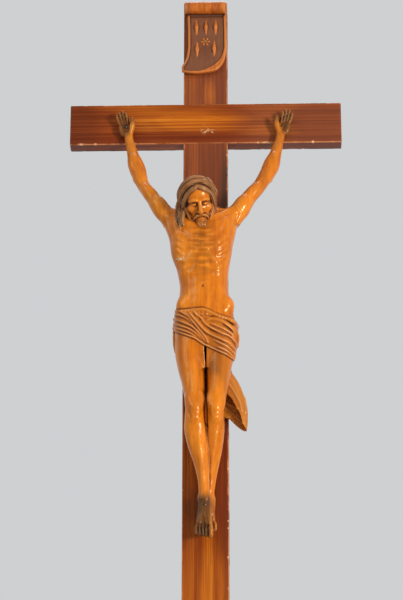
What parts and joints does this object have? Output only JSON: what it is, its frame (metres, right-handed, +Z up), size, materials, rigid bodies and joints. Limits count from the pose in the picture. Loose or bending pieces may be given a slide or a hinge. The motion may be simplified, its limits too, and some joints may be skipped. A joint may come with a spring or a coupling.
{
  "type": "processional cross",
  "caption": "Wooden cross of two lapped planks with a carved corpus and a scroll, on a round brass socket that takes a carrying staff.",
  "frame": {"origin": "centre of the staff socket's mouth", "axes": "+Z up along the upright, front towards -Y, crossbar along X"},
  "size_m": [0.37, 0.1107, 1.04],
  "materials": {
    "stained_wood": "stained and varnished, edges worn",
    "carved_wood": "honey varnish, dark in the hollows",
    "scroll_wood": "varnished, dark field",
    "dowel_wood": "bare",
    "steel": "dull",
    "brass": "aged, satin"
  },
  "bodies": {
    "root": {"upright": "stained_wood", "crossbar": "stained_wood", "lap_screws": "steel", "titulus_scroll": "scroll_wood", "titulus_brad": "steel", "corpus_body": "carved_wood", "corpus_arm_right": "carved_wood", "corpus_arm_left": "carved_wood", "shoulder_dowels": "dowel_wood", "loincloth_end": "carved_wood", "loincloth_dowel": "dowel_wood", "hand_nails": "steel", "foot_nail": "steel", "corpus_screw": "steel", "socket_sleeve": "brass", "staff_tube": "brass", "sleeve_screws": "brass"}
  },
  "joints": []
}
